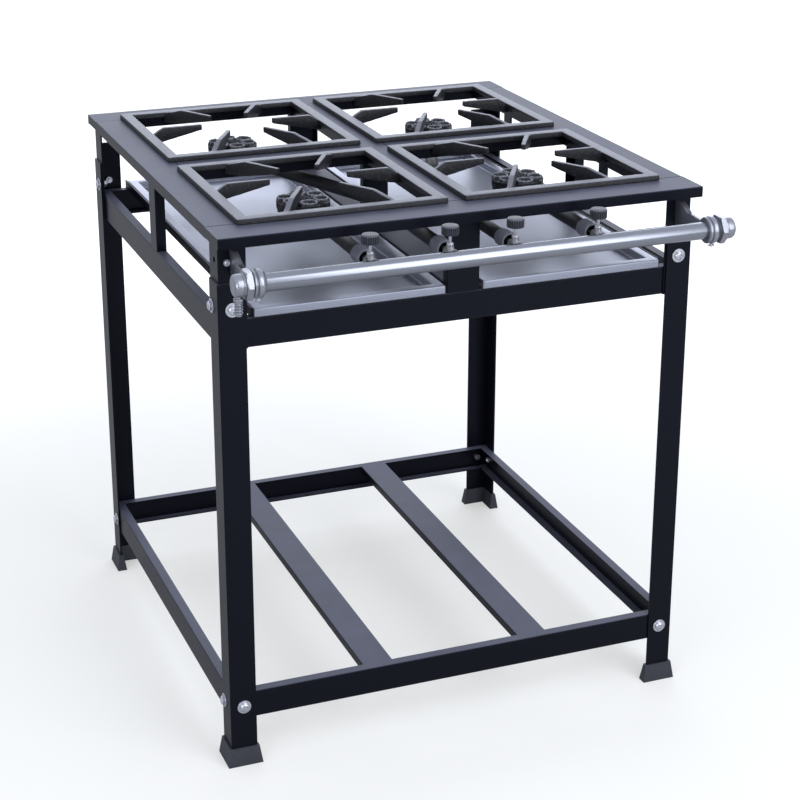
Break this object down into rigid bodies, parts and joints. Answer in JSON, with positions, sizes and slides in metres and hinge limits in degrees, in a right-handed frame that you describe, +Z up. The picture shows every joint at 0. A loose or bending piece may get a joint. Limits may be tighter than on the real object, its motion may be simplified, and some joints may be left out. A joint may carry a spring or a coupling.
{
  "type": "open-stand gas range",
  "caption": "Open-frame gas range: square cast grates over rose burners in a black steel deck, front gas tube with ribbed knobs, slide-out drip trays and a slatted lower shelf.",
  "frame": {"origin": "middle of the overall footprint, on the floor", "axes": "+Z up; -Y is the cook's side with the gas tube and knobs; +X to the cook's right"},
  "size_m": [0.714, 0.834, 0.8033],
  "materials": {
    "black_frame": "semi-gloss black powder coat on folded steel",
    "galvanised_sheet": "thin galvanised sheet, soft sheen",
    "bright_tube": "galvanised tube, fairly bright",
    "cast_fitting": "dull cast metal",
    "valve_metal": "turned metal, dull",
    "sleeve_steel": "smooth zinc-coated sleeve",
    "zinc_fasteners": "zinc-plated",
    "cast_iron": "rough dark cast iron",
    "knob_plastic": "dark grey, satin",
    "foot_plastic": "dark grey moulded plastic"
  },
  "bodies": {
    "stand": {"deck_front": "black_frame", "deck_back": "black_frame", "deck_left": "black_frame", "deck_right": "black_frame", "deck_centre": "black_frame", "deck_cross_members": "black_frame", "front_posts": "black_frame", "rear_posts": "black_frame", "upright_front": "black_frame", "upright_back": "black_frame", "uprights_side": "black_frame", "upright_centre": "black_frame", "box_rail_front": "black_frame", "box_rail_back": "black_frame", "box_rails_side": "black_frame", "tray_centre_rail": "black_frame", "tray_guides": "black_frame", "burner_bars": "black_frame", "burner_screws": "zinc_fasteners", "leg_fl": "black_frame", "leg_fr": "black_frame", "leg_rl": "black_frame", "leg_rr": "black_frame", "feet": "foot_plastic", "shelf_rail_front": "black_frame", "shelf_rail_back": "black_frame", "shelf_rails_side": "black_frame", "shelf_slats": "black_frame", "leg_bolts": "zinc_fasteners", "leg_washers": "zinc_fasteners", "leg_nuts": "zinc_fasteners", "gas_manifold": "bright_tube", "bracket_left": "cast_fitting", "bracket_right": "cast_fitting", "bracket_screws": "zinc_fasteners", "gas_inlet": "cast_fitting", "end_cap": "cast_fitting", "valves": "valve_metal", "burner_fl": "cast_iron", "burner_fr": "cast_iron", "burner_rl": "cast_iron", "burner_rr": "cast_iron"},
    "knob_fl": {"knob_fl": "knob_plastic"},
    "knob_fr": {"knob_fr": "knob_plastic"},
    "knob_rl": {"knob_rl": "knob_plastic"},
    "knob_rr": {"knob_rr": "knob_plastic"},
    "shutter_fl": {"shutter_fl": "sleeve_steel"},
    "shutter_fr": {"shutter_fr": "sleeve_steel"},
    "shutter_rl": {"shutter_rl": "sleeve_steel"},
    "shutter_rr": {"shutter_rr": "sleeve_steel"},
    "crown_fl": {"crown_fl": "cast_iron"},
    "crown_fr": {"crown_fr": "cast_iron"},
    "crown_rl": {"crown_rl": "cast_iron"},
    "crown_rr": {"crown_rr": "cast_iron"},
    "grate_fl": {"grate_fl": "cast_iron"},
    "grate_fr": {"grate_fr": "cast_iron"},
    "grate_rl": {"grate_rl": "cast_iron"},
    "grate_rr": {"grate_rr": "cast_iron"},
    "tray_left": {"tray_left": "galvanised_sheet"},
    "tray_right": {"tray_right": "galvanised_sheet"}
  },
  "joints": [
    {"name": "turn_knob_fl", "type": "hinge", "parent": "stand", "child": "knob_fl", "pos_m": [-0.161, -0.36396, 0.78], "axis": [0, 0, 1], "range_deg": [0, 90]},
    {"name": "turn_knob_fr", "type": "hinge", "parent": "stand", "child": "knob_fr", "pos_m": [0.168, -0.36396, 0.78], "axis": [0, 0, 1], "range_deg": [0, 90]},
    {"name": "turn_knob_rl", "type": "hinge", "parent": "stand", "child": "knob_rl", "pos_m": [-0.049, -0.36396, 0.78], "axis": [0, 0, 1], "range_deg": [0, 90]},
    {"name": "turn_knob_rr", "type": "hinge", "parent": "stand", "child": "knob_rr", "pos_m": [0.045, -0.36396, 0.78], "axis": [0, 0, 1], "range_deg": [0, 90]},
    {"name": "slide_shutter_fl", "type": "slide", "parent": "stand", "child": "shutter_fl", "axis": [0, 1, 0], "range_m": [0, 0.012]},
    {"name": "slide_shutter_fr", "type": "slide", "parent": "stand", "child": "shutter_fr", "axis": [0, 1, 0], "range_m": [0, 0.012]},
    {"name": "slide_shutter_rl", "type": "slide", "parent": "stand", "child": "shutter_rl", "axis": [0, 1, 0], "range_m": [0, 0.012]},
    {"name": "slide_shutter_rr", "type": "slide", "parent": "stand", "child": "shutter_rr", "axis": [0, 1, 0], "range_m": [0, 0.012]},
    {"name": "lift_crown_fl", "type": "slide", "parent": "stand", "child": "crown_fl", "axis": [0, 0, 1], "range_m": [0, 0.15]},
    {"name": "lift_crown_fr", "type": "slide", "parent": "stand", "child": "crown_fr", "axis": [0, 0, 1], "range_m": [0, 0.15]},
    {"name": "lift_crown_rl", "type": "slide", "parent": "stand", "child": "crown_rl", "axis": [0, 0, 1], "range_m": [0, 0.15]},
    {"name": "lift_crown_rr", "type": "slide", "parent": "stand", "child": "crown_rr", "axis": [0, 0, 1], "range_m": [0, 0.15]},
    {"name": "lift_grate_fl", "type": "slide", "parent": "stand", "child": "grate_fl", "axis": [0, 0, 1], "range_m": [0, 0.15]},
    {"name": "lift_grate_fr", "type": "slide", "parent": "stand", "child": "grate_fr", "axis": [0, 0, 1], "range_m": [0, 0.15]},
    {"name": "lift_grate_rl", "type": "slide", "parent": "stand", "child": "grate_rl", "axis": [0, 0, 1], "range_m": [0, 0.15]},
    {"name": "lift_grate_rr", "type": "slide", "parent": "stand", "child": "grate_rr", "axis": [0, 0, 1], "range_m": [0, 0.15]},
    {"name": "pull_tray_left", "type": "slide", "parent": "stand", "child": "tray_left", "axis": [0, -1, 0], "range_m": [0, 0.55]},
    {"name": "pull_tray_right", "type": "slide", "parent": "stand", "child": "tray_right", "axis": [0, -1, 0], "range_m": [0, 0.55]}
  ]
}
